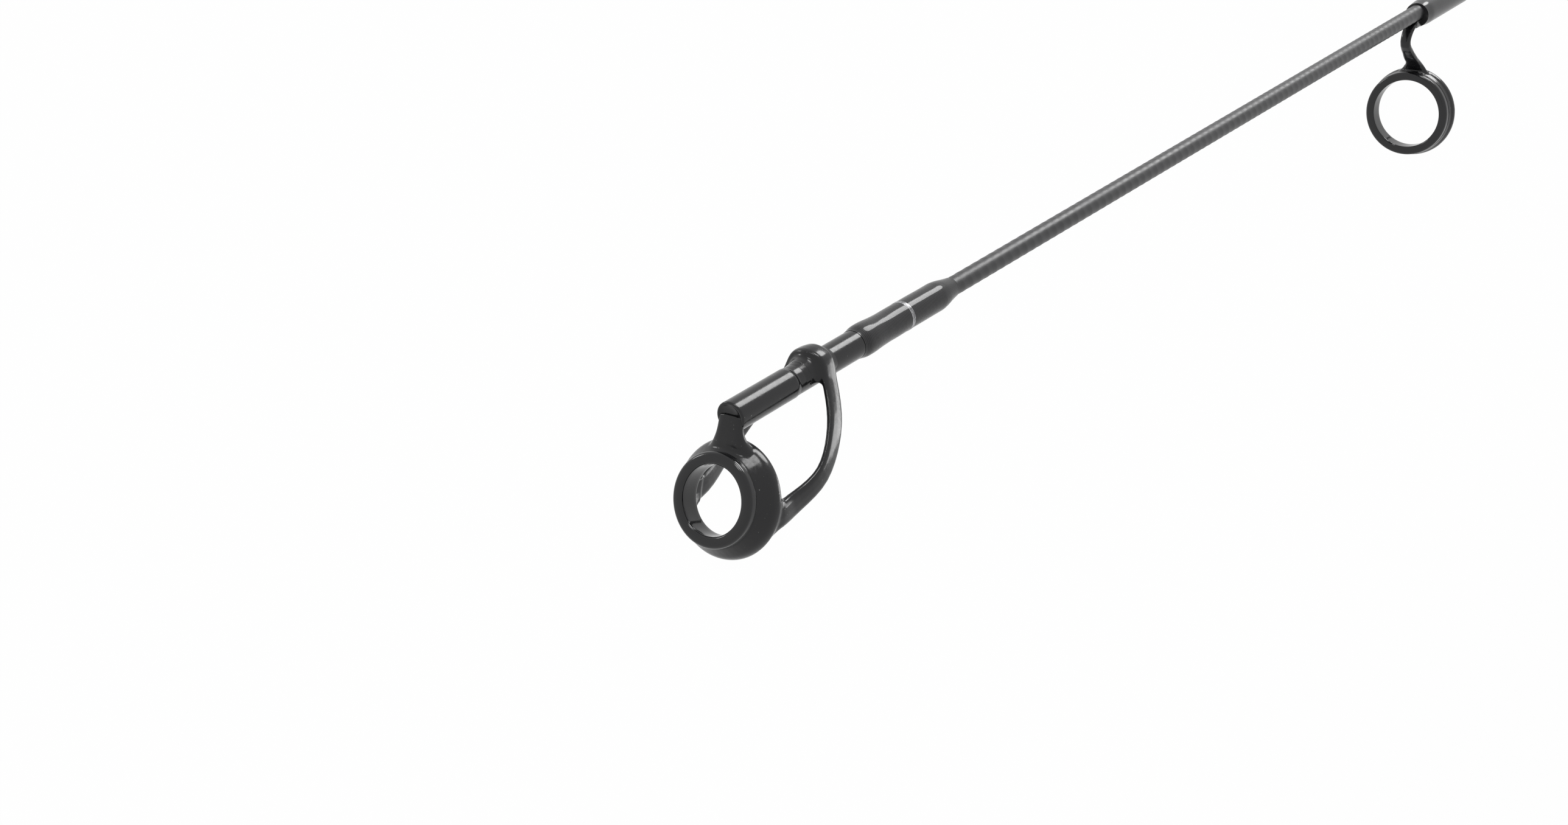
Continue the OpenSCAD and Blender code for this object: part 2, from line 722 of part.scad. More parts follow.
module ferrule_wrap() {
    x1 = mouth_x + ferrule_wrap_len;
    color(thread_black)
        difference() {
            turned([
                [0, mouth_x + 0.5],
                [tip_r(mouth_x) + 0.1, mouth_x + 0.5],
                [ferrule_wrap_r(mouth_x), mouth_x + 1.4],
                [ferrule_wrap_r(x1), x1 - wrap_taper],
                [tip_r(x1) + 0.08, x1],
                [0, x1]
            ]);
            blank_cut(mouth_x - 1, x1 + 1, true);
            for (x = ferrule_bands)
                difference() {
                    turned([
                        [0, x - trim_w - glue],
                        [tip_r(x) + 1, x - trim_w - glue],
                        [tip_r(x) + 1, x + trim_w + glue],
                        [0, x + trim_w + glue]
                    ]);
                    turned([
                        [0, x - 2],
                        [ferrule_wrap_r(x) - trim_t, x - 2],
                        [ferrule_wrap_r(x) - trim_t, x + 2],
                        [0, x + 2]
                    ]);
                }
        }
}

module ferrule_trim_bands() {
    color(silver)
        for (x = ferrule_bands)
            turned([
                [ferrule_wrap_r(x) - trim_t + glue, x - trim_w],
                [ferrule_wrap_r(x) + 0.03, x - trim_w],
                [ferrule_wrap_r(x) + 0.03, x + trim_w],
                [ferrule_wrap_r(x) - trim_t + glue, x + trim_w]
            ]);
}

// Hook keeper: one bent wire, with its two feet under short wraps
module keeper_wire_path(d) {
    z0 = -butt_r(keeper_x) - keeper_wire / 2;
    across = [0, 1, 0];
    strip([
        row([keeper_x - keeper_half - keeper_foot, 0, z0], d, d, across),
        row([keeper_x - keeper_half - 1, 0, z0], d, d, across),
        row([keeper_x - keeper_half + 1.2, 0, z0 - 0.3 * keeper_h], d, d, across),
        row([keeper_x - 0.5 * keeper_half, 0, z0 - 0.85 * keeper_h], d, d, across),
        row([keeper_x, 0, z0 - keeper_h], d, d, across),
        row([keeper_x + 0.5 * keeper_half, 0, z0 - 0.85 * keeper_h], d, d, across),
        row([keeper_x + keeper_half - 1.2, 0, z0 - 0.3 * keeper_h], d, d, across),
        row([keeper_x + keeper_half + 1, 0, z0], d, d, across),
        row([keeper_x + keeper_half + keeper_foot, 0, z0], d, d, across)
    ], steps = 4, sides = 10, power = 1);
}

module hook_keeper() {
    color(gunmetal)
        difference() {
            keeper_wire_path(keeper_wire);
            blank_cut(keeper_x - 40, keeper_x + 40, false);
        }
}

module hook_keeper_wraps() {
    lift = keeper_wire / 2;
    color(thread_black)
        for (side = [-1, 1]) let(
            xa = keeper_x + side * (keeper_half + 1.6),
            xb = keeper_x + side * (keeper_half + keeper_foot + 2.4),
            x0 = min(xa, xb),
            x1 = max(xa, xb),
            thick = lift + wrap_t)
            difference() {
                translate([0, 0, -lift])
                    turned([
                        [0, x0],
                        [butt_r(x0) + lift + 0.05, x0],
                        [butt_r(x0) + thick, x0 + 1.4],
                        [butt_r(x1) + thick, x1 - 1.4],
                        [butt_r(x1) + lift + 0.05, x1],
                        [0, x1]
                    ]);
                blank_cut(x0 - 5, x1 + 5, false);
                keeper_wire_path(keeper_wire + 2 * glue);
            }
}

// Handle
module on_blank(points) {
    x0 = min([for (p = points) p[1]]);
    x1 = max([for (p = points) p[1]]);
    difference() {
        turned(points);
        blank_cut(x0 - 1, x1 + 1, false);
    }
}

module winding_check() {
    r = foregrip_front_dia / 2;
    color(gunmetal)
        on_blank([
            [0, check_x + glue],
            [r - 0.1, check_x + glue],
            [r + 0.2, check_x + 0.8],
            [r - 0.2, check_x + 1.6],
            [butt_r(check_x) + 0.5, check_x + ring_len],
            [0, check_x + ring_len]
        ]);
}

barrel_r = barrel_dia / 2;

module foregrip() {
    r0 = foregrip_dia / 2;
    r1 = foregrip_front_dia / 2;
    color(foam_black)
        difference() {
            on_blank(concat(
                [[0, foregrip_x], [r0 - 1, foregrip_x]],
                arc([r0 - 1, foregrip_x + 1], 1, -90, 0, 4),
                [
                    for (k = [1 : 10]) let(f = k / 10)
                        [r0 + (r1 - r0) * (1 - cos(180 * f)) / 2, foregrip_x + 1 + (foregrip_len - 1) * f]
                ],
                [[0, check_x]]
            ));
            turned([
                [0, foregrip_x - 1],
                [barrel_r + glue, foregrip_x - 1],
                [barrel_r + glue, seat_x1 + glue],
                [0, seat_x1 + glue]
            ]);
        }
}

// Reel seat
barrel_bore = barrel_r - barrel_wall;
hood_collar_r = barrel_r + collar_wall;
bed_z = -barrel_r + bed_depth;
bed_x = seat_x0 + 14;
key_w = 3;
key_h = 0.8;
pocket_taper = 1;

module seat_barrel() {
    color(seat_black)
        difference() {
            turned([
                [barrel_bore, seat_x0 + glue],
                [barrel_r, seat_x0 + glue],
                [barrel_r, seat_x1],
                [barrel_bore, seat_x1]
            ]);
            translate([bed_x, -barrel_r, bed_z - 10])
                cube([barrel_len, barrel_dia, 10]);
            translate([hood_x0 - hood_travel - 1, -key_w / 2 - running, barrel_r - key_h - 2 * running])
                cube([barrel_len, key_w + 2 * running, 5]);
        }
}

module seat_arbors() {
    arbor = 18;
    color(gunmetal)
        for (x = [seat_x0 + 8, seat_x1 - 8 - arbor])
            on_blank([
                [0, x],
                [barrel_bore - glue, x],
                [barrel_bore - glue, x + arbor],
                [0, x + arbor]
            ]);
}

// Section of a hood at its mouth: collar round the barrel and a lobe below, drawn with X downwards
module hood_section(inset) {
    hull() {
        circle(r = barrel_r + hood_wall - inset);
        translate([lobe_drop, 0])
            circle(r = lobe_r - inset);
    }
}

// Scoop of a hood, from the mouth at z = 0 to a plain collar at z = len
module hood_scoop(len, collar_r, collar_len) {
    hull() {
        linear_extrude(pocket_len * 0.85)
            hood_section(0);
        translate([0, 0, len - collar_len])
            cylinder(r = collar_r, h = collar_len);
    }
}

// Pocket for one end of the reel foot, narrowing inwards
module hood_pocket(inset) {
    translate([0, 0, -0.01])
        hull() {
            linear_extrude(pocket_len * 0.5)
                hood_section(inset);
            linear_extrude(pocket_len)
                hood_section(inset + pocket_taper);
        }
}

// Liner that lies against the pocket's roof, below the reel foot
module hood_liner() {
    difference() {
        hood_pocket(hood_wall + glue);
        hood_pocket(hood_wall + liner_t);
        translate([0, 0, -1])
            cylinder(r = barrel_r + 0.6, h = pocket_len + 2);
        translate([-50 - bed_z + 0.6, -25, -1])
            cube([50, 50, pocket_len + 2]);
        translate([-25, -25, -1])
            cube([50, 50, 1]);
    }
}

module sliding_hood() {
    color(gunmetal)
        translate([hood_x0, 0, 0])
            rotate([0, 90, 0])
                union() {
                    difference() {
                        hood_scoop(hood_len, hood_collar_r, 1);
                        translate([0, 0, -1])
                            cylinder(r = barrel_r + running, h = hood_len + 2);
                        hood_pocket(hood_wall);
                        translate([0, 0, hood_len - nose_len - 0.2])
                            cylinder(r = hood_collar_r - nose_wall, h = 5);
                    }
                    translate([-barrel_r - 1, -key_w / 2, pocket_len + 0.5])
                        cube([1 + key_h, key_w, hood_len - pocket_len - nose_len - 0.8]);
                }
}

module sliding_hood_liner() {
    color(seat_black)
        translate([hood_x0, 0, 0])
            rotate([0, 90, 0])
                hood_liner();
}

module fixed_hood() {
    collar = seat_x0 + glue;
    color(gunmetal)
        translate([collar, 0, 0])
            rotate([0, 90, 0])
                translate([0, 0, fixed_hood_len])
                    mirror([0, 0, 1])
                        difference() {
                            hood_scoop(fixed_hood_len, hood_collar_r, 8);
                            translate([0, 0, -1])
                                cylinder(r = barrel_r + glue, h = fixed_hood_len + 2);
                            hood_pocket(hood_wall);
                        }
}

module fixed_hood_liner() {
    color(seat_black)
        translate([seat_x0 + glue + fixed_hood_len, 0, 0])
            rotate([0, 90, 0])
                mirror([0, 0, 1])
                    hood_liner();
}

// Knurled nut: its nose turns in the hood's counterbore, and its front step carries a bright ring
nut_r = barrel_r + nut_wall;
nut_step = 3;
nut_step_r = nut_r - 1.2;
nose_len = 2.4;
nose_wall = 1;

module lock_nut() {
    nose_r = hood_collar_r - nose_wall - 2 * running;
    color(seat_black)
        difference() {
            turned([
                [barrel_r + running, nut_x0 - nose_len],
                [nose_r, nut_x0 - nose_len],
                [nose_r, nut_x0],
                [nut_r - 0.6, nut_x0],
                [nut_r, nut_x0 + 0.6],
                [nut_r, nut_x1 - nut_step],
                [nut_step_r - glue, nut_x1 - nut_step],
                [nut_step_r - glue, nut_x1],
                [barrel_r + running, nut_x1]
            ]);
            for (k = [0 : nut_scallops - 1])
                rotate([360 * k / nut_scallops, 0, 0])
                    translate([nut_x0 - 0.1, 0, nut_r + 0.7])
                        rotate([0, 90, 0])
                            cylinder(r = 1.3, h = nut_len - nut_step - 1, $fn = 24);
        }
}

module lock_nut_trim() {
    color(silver)
        turned([
            [nut_step_r, nut_x1 - nut_step + glue],
            [nut_r - 0.3, nut_x1 - nut_step + glue],
            [nut_r, nut_x1 - nut_step + 0.4],
            [nut_r, nut_x1 - 0.5],
            [nut_r - 0.5, nut_x1],
            [nut_step_r, nut_x1]
        ]);
}

module rear_trim_ring() {
    x = rear_grip_len;
    color(silver)
        on_blank([
            [0, x + glue],
            [hood_collar_r - 0.3, x + glue],
            [hood_collar_r, x + 0.4],
            [hood_collar_r, x + ring_len - 0.4],
            [hood_collar_r - 0.3, x + ring_len],
            [0, x + ring_len]
        ]);
}

// Rear grip: swelling at the butt, waist, and a front end that meets the trim ring
rear_r = rear_grip_dia / 2;
cap_seat = 10;

module rear_grip() {
    waist = rear_waist_dia / 2;
    x0 = cap_len - cap_seat;
    steps = 14;
    span = rear_grip_len - cap_len;
    color(foam_black)
        on_blank(concat(
            [[0, x0], [rear_r - cap_wall - glue, x0], [rear_r - cap_wall - glue, cap_len + glue]],
            [[rear_r - 0.4, cap_len + glue]],
            [
                for (k = [1 : steps - 1]) let(f = k / steps)
                    [waist + (rear_r - waist) * pow(cos(90 * min(1, f * 1.5)), 2)
                        + (hood_collar_r - waist) * pow(max(0, f * 3 - 2), 2), cap_len + span * f]
            ],
            [[hood_collar_r - 0.5, rear_grip_len], [0, rear_grip_len]]
        ));
}

module butt_cap() {
    round_r = 3;
    x_in = cap_len - cap_seat - glue;
    color(foam_black)
        turned(concat(
            [[0, 0]],
            arc([rear_r - round_r, round_r], round_r, -90, 0, 6),
            [
                [rear_r + 0.3, cap_len - 4],
                [rear_r, cap_len],
                [rear_r - cap_wall, cap_len],
                [rear_r - cap_wall, x_in],
                [0, x_in]
            ]
        ));
}

tip_top_tube();
tip_top_frame();
tip_top_ring();
tip_top_wrap();
tip_top_trim_band();
tip_blank();
guide_frame(0);  // guide_1_frame
guide_insert(0);  // guide_1_ring
guide_wraps(0);  // guide_1_wrap
guide_frame(1);  // guide_2_frame
guide_insert(1);  // guide_2_ring
guide_wraps(1);  // guide_2_wrap
guide_frame(2);  // guide_3_frame
guide_insert(2);  // guide_3_ring
guide_wraps(2);  // guide_3_wrap
guide_frame(3);  // guide_4_frame
guide_insert(3);  // guide_4_ring
guide_wraps(3);  // guide_4_wraps
guide_frame(4);  // guide_5_frame
guide_insert(4);  // guide_5_ring
guide_wraps(4);  // guide_5_wraps
ferrule_wrap();
ferrule_trim_bands();
butt_blank();
guide_frame(5);  // stripper_frame
guide_insert(5);  // stripper_ring
guide_wraps(5);  // stripper_wraps
hook_keeper();
hook_keeper_wraps();
winding_check();
foregrip();
seat_barrel();
seat_arbors();
fixed_hood();
fixed_hood_liner();
sliding_hood();
sliding_hood_liner();
lock_nut();
lock_nut_trim();
rear_trim_ring();
rear_grip();
butt_cap();
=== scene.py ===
"""Looks of a two-piece spinning rod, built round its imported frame. Lengths are in metres."""
import json
import math

import bpy
import numpy as np
from mathutils import Matrix, Vector
from mathutils.bvhtree import BVHTree


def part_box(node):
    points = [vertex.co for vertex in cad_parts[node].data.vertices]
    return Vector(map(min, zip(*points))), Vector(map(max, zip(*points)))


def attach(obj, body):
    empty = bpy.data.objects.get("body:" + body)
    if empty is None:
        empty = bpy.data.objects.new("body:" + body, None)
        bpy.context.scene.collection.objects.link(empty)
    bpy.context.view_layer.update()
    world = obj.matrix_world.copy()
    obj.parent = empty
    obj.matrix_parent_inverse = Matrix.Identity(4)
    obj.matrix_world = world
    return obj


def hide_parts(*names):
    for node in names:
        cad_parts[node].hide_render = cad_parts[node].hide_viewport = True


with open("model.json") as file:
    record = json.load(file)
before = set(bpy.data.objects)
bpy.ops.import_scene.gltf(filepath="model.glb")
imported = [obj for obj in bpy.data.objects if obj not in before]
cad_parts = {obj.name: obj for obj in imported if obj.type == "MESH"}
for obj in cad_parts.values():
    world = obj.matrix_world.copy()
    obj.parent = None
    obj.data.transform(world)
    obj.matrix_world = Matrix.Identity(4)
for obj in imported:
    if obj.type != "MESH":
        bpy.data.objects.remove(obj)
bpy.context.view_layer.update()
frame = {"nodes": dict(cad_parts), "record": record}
node = frame["nodes"]
record = frame["record"]
body_of = {part: body for body, parts in record["behaviour"]["bodies"].items() for part in parts}
MM = 0.001

# Photograph's camera: image width and focal length in pixels, place and directions in the rod's frame
IMAGE_W = 2576
FOCAL_PX = 3507.8
SENSOR_MM = 36.0
TIP_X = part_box("tip_top_tube")[1].x
CAMERA_AT = Vector((TIP_X + 107.65 * MM, 86.742 * MM, 62.345 * MM))
CAMERA_RIGHT = Vector((-0.5892, 0.8066, -0.0461))
CAMERA_UP = Vector((-0.3568, -0.2086, 0.9106))

# How far the tip-top tube's rim stands in front of the face that the stem meets
TUBE_LIP = 0.3 * MM

# Stage: the floor's height, size and grey, how far the eye and reflections see it as plain white, and the
# world's light on surfaces
FLOOR_Z = -0.32
FLOOR_SIZE = 14.0
FLOOR_GREY = 0.92
FLOOR_GLOW = 0.9
WORLD_FILL = 0.25

# Distant lamps: direction from the rod to the lamp, strength, and spread in degrees
SUNS = {
    "key": ((-0.72, 0.11, 0.685), 1.6, 26),
    "top": ((-0.10, 0.16, 0.98), 0.9, 20),
    "front": ((0.41, 0.0, 0.91), 0.3, 12),
    "left": ((0.31, -0.85, 0.42), 0.35, 13),
}

# Card behind the tip, which gives the tip-top frame's leg its sheen
CARD_TOWARD = (-0.87, 0.45, -0.15)
CARD_DISTANCE = 1.2
CARD_SIZE = 0.6
CARD_RADIANCE = 5

# Most of a noise texture's values lie between these
NOISE_LOW, NOISE_HIGH = 0.3, 0.7

# Pitch of the wraps' thread, as the scale of a wave texture, which has 20 / (2 pi) waves to the unit
THREAD_SCALE = 2 * math.pi / 20 / (0.16 * MM)

# Blank sections: body, pitch and height of the tape's ridges, and the length at the front end that has
# finer rows
BLANKS = {
    "tip_blank": ("tip_section", 1.25 * MM, 0.011 * MM, 175 * MM),
    "butt_blank": ("butt_section", 2.2 * MM, 0.012 * MM, 0),
}
BLANK_SIDES = 36

# Braze on the tip-top tube: place along X from the hoop's crown, and height above the tube, in millimetres
BRAZE_STEPS = [(-2.0, -0.03), (-1.6, 0.02), (-1.2, 0.08), (-0.8, 0.2), (-0.45, 0.42), (-0.2, 0.52),
               (0.25, 0.52), (0.5, 0.42), (0.8, 0.28), (1.15, 0.16), (1.6, 0.07), (2.0, 0.03), (2.4, -0.03)]

# Tip-top leg near its root, in the tip ring's frame: place along X in millimetres, and the leg's middle and
# half width, as angles round the ring's axis
LEG_X = [-3.0, -2.6, -2.2, -1.8]
LEG_MIDDLE = [0, -0.056, -0.11, -0.144]
LEG_HALF = [0.271, 0.271, 0.28, 0.306]

# Wraps that are drawn over a foot
FOOT_WRAPS = ["guide_1_wrap", "guide_2_wrap", "guide_3_wrap", "guide_4_wraps", "guide_5_wraps",
              "stripper_wraps", "hook_keeper_wraps"]

# CAD nodes with rounded edges: voxel of the remesh, and rounds of smoothing
SOFTENED = {
    **{f"guide_{i}_frame": (0.11 * MM, 6) for i in (1, 2, 3, 4, 5)},
    "stripper_frame": (0.14 * MM, 6),
    "hook_keeper": (0.08 * MM, 6),
    "fixed_hood": (0.2 * MM, 6),
    "sliding_hood": (0.2 * MM, 6),
    "fixed_hood_liner": (0.2 * MM, 6),
    "sliding_hood_liner": (0.2 * MM, 6),
    "lock_nut": (0.14 * MM, 4),
}


def make_camera():
    data = bpy.data.cameras.new("camera")
    data.sensor_fit = "HORIZONTAL"
    data.sensor_width = SENSOR_MM
    data.lens = SENSOR_MM * FOCAL_PX / IMAGE_W
    data.clip_start = 10 * MM
    data.clip_end = 50
    camera = bpy.data.objects.new("camera", data)
    right = CAMERA_RIGHT.normalized()
    back = right.cross(CAMERA_UP).normalized()
    up = back.cross(right)
    camera.matrix_world = Matrix.Translation(CAMERA_AT) @ Matrix((right, up, back)).transposed().to_4x4()
    bpy.context.scene.collection.objects.link(camera)
    bpy.context.scene.camera = camera


def add_lamp(name, data, toward):
    """Lamp that shines from that direction."""
    lamp = bpy.data.objects.new(name, data)
    lamp.rotation_mode = "QUATERNION"
    lamp.rotation_quaternion = Vector(toward).to_track_quat("Z", "Y")
    bpy.context.scene.collection.objects.link(lamp)
    return lamp


def make_suns():
    for name, (toward, strength, spread) in SUNS.items():
        data = bpy.data.lights.new(name, "SUN")
        data.energy = strength
        data.angle = math.radians(spread)
        add_lamp(name, data, toward)


def make_card(receiver):
    """Glowing square that faces the tip, and lights only one piece."""
    data = bpy.data.lights.new("rear_card", "AREA")
    data.shape = "RECTANGLE"
    data.size = data.size_y = CARD_SIZE
    data.energy = CARD_RADIANCE * math.pi * CARD_SIZE * CARD_SIZE
    way = Vector(CARD_TOWARD).normalized()
    lamp = add_lamp("rear_card", data, way)
    lamp.location = Vector((TIP_X, 0, 0)) + CARD_DISTANCE * way
    lit = bpy.data.collections.new("rear_card_receivers")
    lit.objects.link(receiver)
    lamp.light_linking.receiver_collection = lit


def seen_directly(tree):
    """Socket that is 1 for camera, glossy and transmission rays and 0 for the light that falls on surfaces."""
    path = tree.nodes.new("ShaderNodeLightPath")
    first = tree.nodes.new("ShaderNodeMath")
    first.operation = "MAXIMUM"
    second = tree.nodes.new("ShaderNodeMath")
    second.operation = "MAXIMUM"
    tree.links.new(path.outputs["Is Camera Ray"], first.inputs[0])
    tree.links.new(path.outputs["Is Glossy Ray"], first.inputs[1])
    tree.links.new(first.outputs[0], second.inputs[0])
    tree.links.new(path.outputs["Is Transmission Ray"], second.inputs[1])
    return second.outputs[0]


def make_world():
    """White all round to the eye and in reflections, with a softer fill on surfaces."""
    world = bpy.data.worlds.new("studio")
    world.use_nodes = True
    tree = world.node_tree
    tree.nodes.clear()
    seen = tree.nodes.new("ShaderNodeBackground")
    seen.inputs["Strength"].default_value = 1.0
    light = tree.nodes.new("ShaderNodeBackground")
    light.inputs["Strength"].default_value = WORLD_FILL
    for shader in (seen, light):
        shader.inputs["Color"].default_value = (1, 1, 1, 1)
    mix = tree.nodes.new("ShaderNodeMixShader")
    out = tree.nodes.new("ShaderNodeOutputWorld")
    tree.links.new(seen_directly(tree), mix.inputs[0])
    tree.links.new(light.outputs[0], mix.inputs[1])
    tree.links.new(seen.outputs[0], mix.inputs[2])
    tree.links.new(mix.outputs[0], out.inputs[0])
    bpy.context.scene.world = world


def make_floor():
    half = FLOOR_SIZE / 2
    mid = TIP_X / 2
    corners = [(mid - half, -half, FLOOR_Z), (mid + half, -half, FLOOR_Z),
               (mid + half, half, FLOOR_Z), (mid - half, half, FLOOR_Z)]
    floor = add_mesh("floor", corners, [(0, 1, 2, 3)])
    mat = bpy.data.materials.new("pale_floor")
    mat.use_nodes = True
    tree = mat.node_tree
    tree.nodes.clear()
    matt = tree.nodes.new("ShaderNodeBsdfDiffuse")
    matt.inputs["Color"].default_value = (FLOOR_GREY, FLOOR_GREY, FLOOR_GREY, 1)
    glow = tree.nodes.new("ShaderNodeEmission")
    glow.inputs["Color"].default_value = (1, 1, 1, 1)
    share = tree.nodes.new("ShaderNodeMath")
    share.operation = "MULTIPLY"
    share.inputs[1].default_value = FLOOR_GLOW
    mix = tree.nodes.new("ShaderNodeMixShader")
    out = tree.nodes.new("ShaderNodeOutputMaterial")
    tree.links.new(seen_directly(tree), share.inputs[0])
    tree.links.new(share.outputs[0], mix.inputs[0])
    tree.links.new(matt.outputs[0], mix.inputs[1])
    tree.links.new(glow.outputs[0], mix.inputs[2])
    tree.links.new(mix.outputs[0], out.inputs[0])
    floor.data.materials.append(mat)


# Mesh helpers

def add_mesh(name, verts, faces, crease=40):
    """Smooth-shaded mesh whose edges stay sharp past the crease angle, in degrees."""
    mesh = bpy.data.meshes.new(name)
    mesh.from_pydata([tuple(v) for v in verts], [], [tuple(f) for f in faces])
    mesh.polygons.foreach_set("use_smooth", [True] * len(mesh.polygons))
    mesh.set_sharp_from_angle(angle=math.radians(crease))
    obj = bpy.data.objects.new(name, mesh)
    bpy.context.scene.collection.objects.link(obj)
    return obj


def lathe(name, outer, inner, sides, relief=None, *, crease, extra=(), carve=None):
    """Solid turned round the X axis. outer runs along +X and inner back along -X, both of (x, radius).
    relief(x, turn) lifts the outer points, with turn from 0 to 1; extra adds turns to the even ones, and
    carve(x, y, z) returns new outer y and z. With an empty inner the ends are closed."""
    rows = np.array([*outer, *inner], float)
    turn = np.unique(np.concatenate([np.arange(sides) / sides, np.mod(extra, 1.0)]))
    sides = len(turn)
    count = len(outer)
    x = np.repeat(rows[:, :1], sides, axis=1)
    r = np.repeat(rows[:, 1:], sides, axis=1)
    if relief is not None:
        r[:count] += relief(x[:count], turn[None, :])
    a = 2 * math.pi * turn
    y, z = r * np.cos(a), r * np.sin(a)
    if carve is not None:
        y[:count], z[:count] = carve(x[:count], y[:count], z[:count])
    verts = np.stack([x, y, z], axis=-1).reshape(-1, 3)
    total = len(rows)
    i = np.arange(total if len(inner) else total - 1)[:, None]
    k = np.arange(sides)[None, :]
    j, n = (i + 1) % total, (k + 1) % sides
    quads = np.stack([i * sides + k, i * sides + n, j * sides + n, j * sides + k], axis=-1)
    faces = quads.reshape(-1, 4).tolist()
    if not len(inner):
        faces.append(list(range(sides))[::-1])
        faces.append([(total - 1) * sides + m for m in range(sides)])
    return add_mesh(name, verts.tolist(), faces, crease)


def arc(x, r, radius, start, end, count):
    """(x, radius) points of an arc about (x, r), from start to end degrees; 0 points along +X."""
    a = np.radians(np.linspace(start, end, count))
    return list(zip(x + radius * np.cos(a), r + radius * np.sin(a)))


def coords(name):
    """Vertices of a CAD node, as an array of x, y, z rows."""
    mesh = node[name].data
    co = np.empty(len(mesh.vertices) * 3, np.float32)
    mesh.vertices.foreach_get("co", co)
    return co.reshape(-1, 3).astype(float)


def outline(name, side, step=0.02 * MM, lean=0.05):
    """Outline of a turned node, as (x, radius) rows along +X: side 1 follows its outer faces, -1 its inner.
    Faces that lean to that side by less than lean are the node's ends, and left out."""
    co = coords(name)
    rows = {}
    for face in node[name].data.polygons:
        points = co[list(face.vertices)]
        mid = points.mean(axis=0)
        outward = (face.normal.y * mid[1] + face.normal.z * mid[2]) / math.hypot(mid[1], mid[2])
        if side * outward < lean:
            continue
        for x, y, z in points:
            place = round(x / step)
            rows[place] = side * max(side * rows.get(place, -side), side * math.hypot(y, z))
    return np.array([(place * step, rows[place]) for place in sorted(rows)])


def refined(rows, step):
    """Outline with points added so that none are further apart along X than step."""
    out = []
    for (x0, r0), (x1, r1) in zip(rows[:-1], rows[1:]):
        count = max(1, math.ceil((x1 - x0) / step))
        out += [(x0 + (x1 - x0) * k / count, r0 + (r1 - r0) * k / count) for k in range(count)]
    return np.array([*out, tuple(rows[-1])])


def flowing(rows, step, reach):
    """Outline resampled every step, with its radius rounded over a distance of reach."""
    x = np.arange(rows[0][0], rows[-1][0], step)
    r = np.interp(x, rows[:, 0], rows[:, 1])
    half = max(1, int(2 * reach / step))
    weight = np.exp(-0.5 * (np.arange(-half, half + 1) * step / reach) ** 2)
    soft = np.convolve(np.pad(r, half, mode="edge"), weight / weight.sum(), mode="valid")
    return np.stack([x, soft], axis=1)


def stand_for(obj, body, slot, mat, *nodes):
    """Puts obj in the place of CAD nodes, on their body, with mat as its finish in its material slot. The slot
    argument is not used.
    """
    obj.data.materials.clear()
    obj.data.materials.append(mat)
    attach(obj, body)
    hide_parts(*nodes)
    return obj


def blurred(grid, reach, axis, wrap):
    """Grid of numbers rounded over a distance of reach cells along one axis; wrap joins its two ends."""
    half = math.ceil(2.5 * reach)
    weight = np.exp(-0.5 * (np.arange(-half, half + 1) / reach) ** 2)
    pad = [(half, half) if k == axis else (0, 0) for k in (0, 1)]
    wide = np.pad(grid, pad, mode="wrap" if wrap else "edge")
    return np.apply_along_axis(np.convolve, axis, wide, weight / weight.sum(), mode="valid")


def radii(name, places, sides, far=30 * MM):
    """Outer radius of a CAD node at each place along X and each of its sides; nan where it has nothing."""
    mesh = node[name].data
    tree = BVHTree.FromPolygons(coords(name).tolist(), [tuple(p.vertices) for p in mesh.polygons])
    grid = np.full((len(places), sides), np.nan)
    for k in range(sides):
        a = 2 * math.pi * k / sides
        out = Vector((0, math.cos(a), math.sin(a)))
        for i, x in enumerate(places):
            spot = tree.ray_cast(Vector((x, 0, 0)) + far * out, -out, far)[0]
            if spot is not None:
                grid[i, k] = math.hypot(spot.y, spot.z)
    return grid


def soften(obj, voxel, rounds, fillet=0):
    """Rounds a faceted piece's edges: welds it, remeshes it finely and smooths it. A fillet of that radius
    fills its inner corners, by growing the surface and drawing it back."""
    weld = obj.modifiers.new("weld", "WELD")
    weld.merge_threshold = 0.002 * MM
    shifts = (0, fillet, -fillet) if fillet else (0,)
    for shift in shifts:
        if shift:
            grow = obj.modifiers.new("grow", "DISPLACE")
            grow.mid_level = 0
            grow.strength = shift
        remesh = obj.modifiers.new("remesh", "REMESH")
        remesh.mode = "VOXEL"
        remesh.voxel_size = voxel
        remesh.use_smooth_shade = True
    smooth = obj.modifiers.new("smooth", "SMOOTH")
    smooth.factor = 0.5
    smooth.iterations = rounds


# Materials

def new_material(name, color, roughness, **settings):
    mat = bpy.data.materials.new(name)
    mat.use_nodes = True
    bsdf = mat.node_tree.nodes["Principled BSDF"]
    bsdf.inputs["Base Color"].default_value = (*color, 1)
    bsdf.inputs["Roughness"].default_value = roughness
    for key, value in settings.items():
        bsdf.inputs[key.replace("_", " ").title().replace("Ior", "IOR")].default_value = value
    return mat


def texture(mat, kind, scale, stretch=(1, 1, 1), **settings):
    """Texture in the rod's own frame; scale is in features per metre."""
    nodes = mat.node_tree.nodes
    place = nodes.new("ShaderNodeTexCoord")
    mapping = nodes.new("ShaderNodeMapping")
    mapping.inputs["Scale"].default_value = stretch
    tex = nodes.new(kind)
    tex.inputs["Scale"].default_value = scale
    for key, value in settings.items():
        tex.inputs[key.title()].default_value = value
    mat.node_tree.links.new(place.outputs["Object"], mapping.inputs["Vector"])
    mat.node_tree.links.new(mapping.outputs["Vector"], tex.inputs["Vector"])
    return tex


